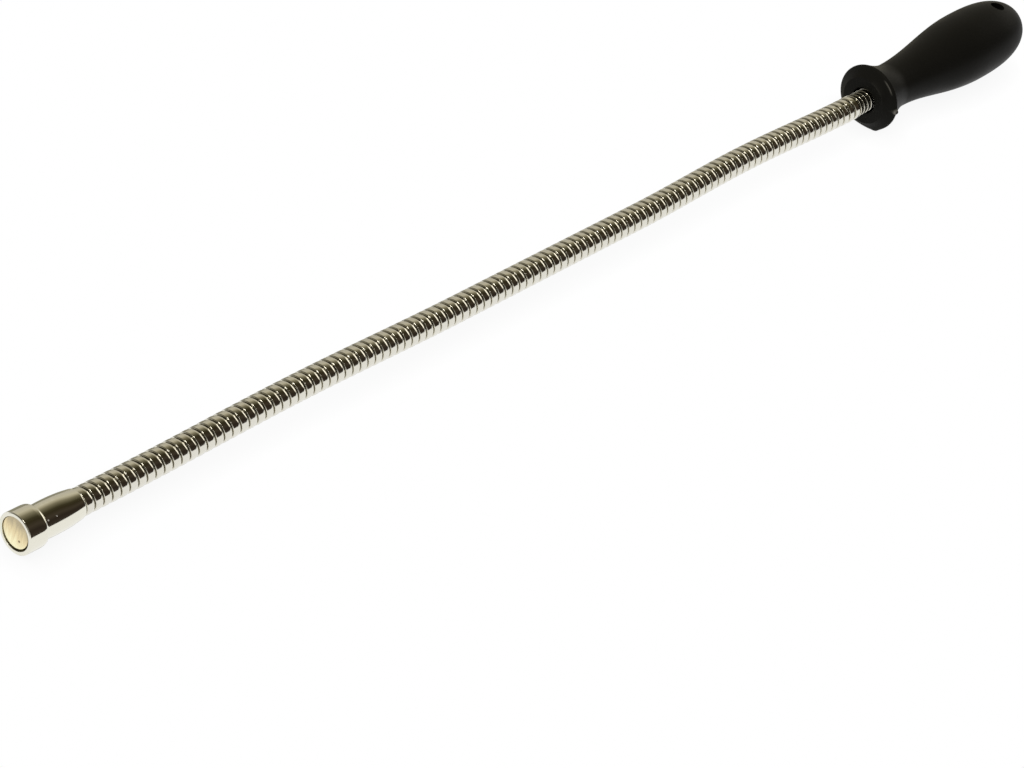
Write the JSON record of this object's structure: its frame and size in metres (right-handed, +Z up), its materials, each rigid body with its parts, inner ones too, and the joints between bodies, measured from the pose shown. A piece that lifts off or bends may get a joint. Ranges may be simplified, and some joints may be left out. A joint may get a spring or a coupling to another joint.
{
  "type": "magnetic pickup tool",
  "caption": "Flexible magnetic pickup tool: a disc magnet in a turned steel cup on a bendable gooseneck, with a moulded handle that has a flat-sided flange and a hanging hole.",
  "frame": {"origin": "centre of the magnet's face", "axes": "+X from the magnet towards the handle, +Z up with the tool lying on the flat of its flange, -Y the side that the picture shows"},
  "size_m": [0.6056, 0.0316, 0.0324],
  "materials": {
    "handle_plastic": "satin moulded",
    "wrap_chrome": "bright rolled wire, plated",
    "coil_steel": "drawn wire, plated",
    "cup_chrome": "turned, plated",
    "adhesive": "dull",
    "magnet_nickel": "nickel plated, satin",
    "sleeve_steel": "crimped tube"
  },
  "bodies": {
    "handle": {"handle": "handle_plastic", "anchor_sleeve": "sleeve_steel", "neck_wrap_handle": "wrap_chrome", "neck_coil_handle": "coil_steel"},
    "neck_15": {"neck_wrap_15": "wrap_chrome", "neck_coil_15": "coil_steel"},
    "neck_14": {"neck_wrap_14": "wrap_chrome", "neck_coil_14": "coil_steel"},
    "neck_13": {"neck_wrap_13": "wrap_chrome", "neck_coil_13": "coil_steel"},
    "neck_12": {"neck_wrap_12": "wrap_chrome", "neck_coil_12": "coil_steel"},
    "neck_11": {"neck_wrap_11": "wrap_chrome", "neck_coil_11": "coil_steel"},
    "neck_10": {"neck_wrap_10": "wrap_chrome", "neck_coil_10": "coil_steel"},
    "neck_09": {"neck_wrap_09": "wrap_chrome", "neck_coil_09": "coil_steel"},
    "neck_08": {"neck_wrap_08": "wrap_chrome", "neck_coil_08": "coil_steel"},
    "neck_07": {"neck_wrap_07": "wrap_chrome", "neck_coil_07": "coil_steel"},
    "neck_06": {"neck_wrap_06": "wrap_chrome", "neck_coil_06": "coil_steel"},
    "neck_05": {"neck_wrap_05": "wrap_chrome", "neck_coil_05": "coil_steel"},
    "neck_04": {"neck_wrap_04": "wrap_chrome", "neck_coil_04": "coil_steel"},
    "neck_03": {"neck_wrap_03": "wrap_chrome", "neck_coil_03": "coil_steel"},
    "neck_02": {"neck_wrap_02": "wrap_chrome", "neck_coil_02": "coil_steel"},
    "neck_01": {"neck_wrap_01": "wrap_chrome", "neck_coil_01": "coil_steel"},
    "head": {"magnet_cup": "cup_chrome", "magnet_bond": "adhesive", "magnet": "magnet_nickel", "neck_wrap_head": "wrap_chrome", "neck_coil_head": "coil_steel"}
  },
  "joints": [
    {"name": "lift_01", "type": "hinge", "parent": "handle", "child": "neck_15", "pos_m": [0.48161, 0, 0.00424], "axis": [0, 1, 0], "range_deg": [-22, 22]},
    {"name": "swing_02", "type": "hinge", "parent": "neck_15", "child": "neck_14", "pos_m": [0.4522, 0.00014, 0.00456], "axis": [0, 0, 1], "range_deg": [-22, 22]},
    {"name": "lift_03", "type": "hinge", "parent": "neck_14", "child": "neck_13", "pos_m": [0.4228, 0.00037, 0.00523], "axis": [0, 1, 0], "range_deg": [-22, 22]},
    {"name": "swing_04", "type": "hinge", "parent": "neck_13", "child": "neck_12", "pos_m": [0.3934, 0.00035, 0.0049], "axis": [0, 0, 1], "range_deg": [-22, 22]},
    {"name": "lift_05", "type": "hinge", "parent": "neck_12", "child": "neck_11", "pos_m": [0.364, 0.00012, 0.00363], "axis": [0, 1, 0], "range_deg": [-22, 22]},
    {"name": "swing_06", "type": "hinge", "parent": "neck_11", "child": "neck_10", "pos_m": [0.3346, 0, 0.00283], "axis": [0, 0, 1], "range_deg": [-22, 22]},
    {"name": "lift_07", "type": "hinge", "parent": "neck_10", "child": "neck_09", "pos_m": [0.3052, 0, 0.00254], "axis": [0, 1, 0], "range_deg": [-22, 22]},
    {"name": "swing_08", "type": "hinge", "parent": "neck_09", "child": "neck_08", "pos_m": [0.2758, 0, 0.00226], "axis": [0, 0, 1], "range_deg": [-22, 22]},
    {"name": "lift_09", "type": "hinge", "parent": "neck_08", "child": "neck_07", "pos_m": [0.2464, 0, 0.00198], "axis": [0, 1, 0], "range_deg": [-22, 22]},
    {"name": "swing_10", "type": "hinge", "parent": "neck_07", "child": "neck_06", "pos_m": [0.217, -0.00003, 0.0018], "axis": [0, 0, 1], "range_deg": [-22, 22]},
    {"name": "lift_11", "type": "hinge", "parent": "neck_06", "child": "neck_05", "pos_m": [0.1876, -0.0003, 0.00251], "axis": [0, 1, 0], "range_deg": [-22, 22]},
    {"name": "swing_12", "type": "hinge", "parent": "neck_05", "child": "neck_04", "pos_m": [0.1582, -0.00061, 0.00341], "axis": [0, 0, 1], "range_deg": [-22, 22]},
    {"name": "lift_13", "type": "hinge", "parent": "neck_04", "child": "neck_03", "pos_m": [0.1288, -0.00069, 0.0034], "axis": [0, 1, 0], "range_deg": [-22, 22]},
    {"name": "swing_14", "type": "hinge", "parent": "neck_03", "child": "neck_02", "pos_m": [0.0994, -0.00045, 0.00223], "axis": [0, 0, 1], "range_deg": [-22, 22]},
    {"name": "lift_15", "type": "hinge", "parent": "neck_02", "child": "neck_01", "pos_m": [0.07, -0.00012, 0.00072], "axis": [0, 1, 0], "range_deg": [-22, 22]},
    {"name": "swing_16", "type": "hinge", "parent": "neck_01", "child": "head", "pos_m": [0.0406, 0, 0], "axis": [0, 0, 1], "range_deg": [-22, 22]}
  ]
}
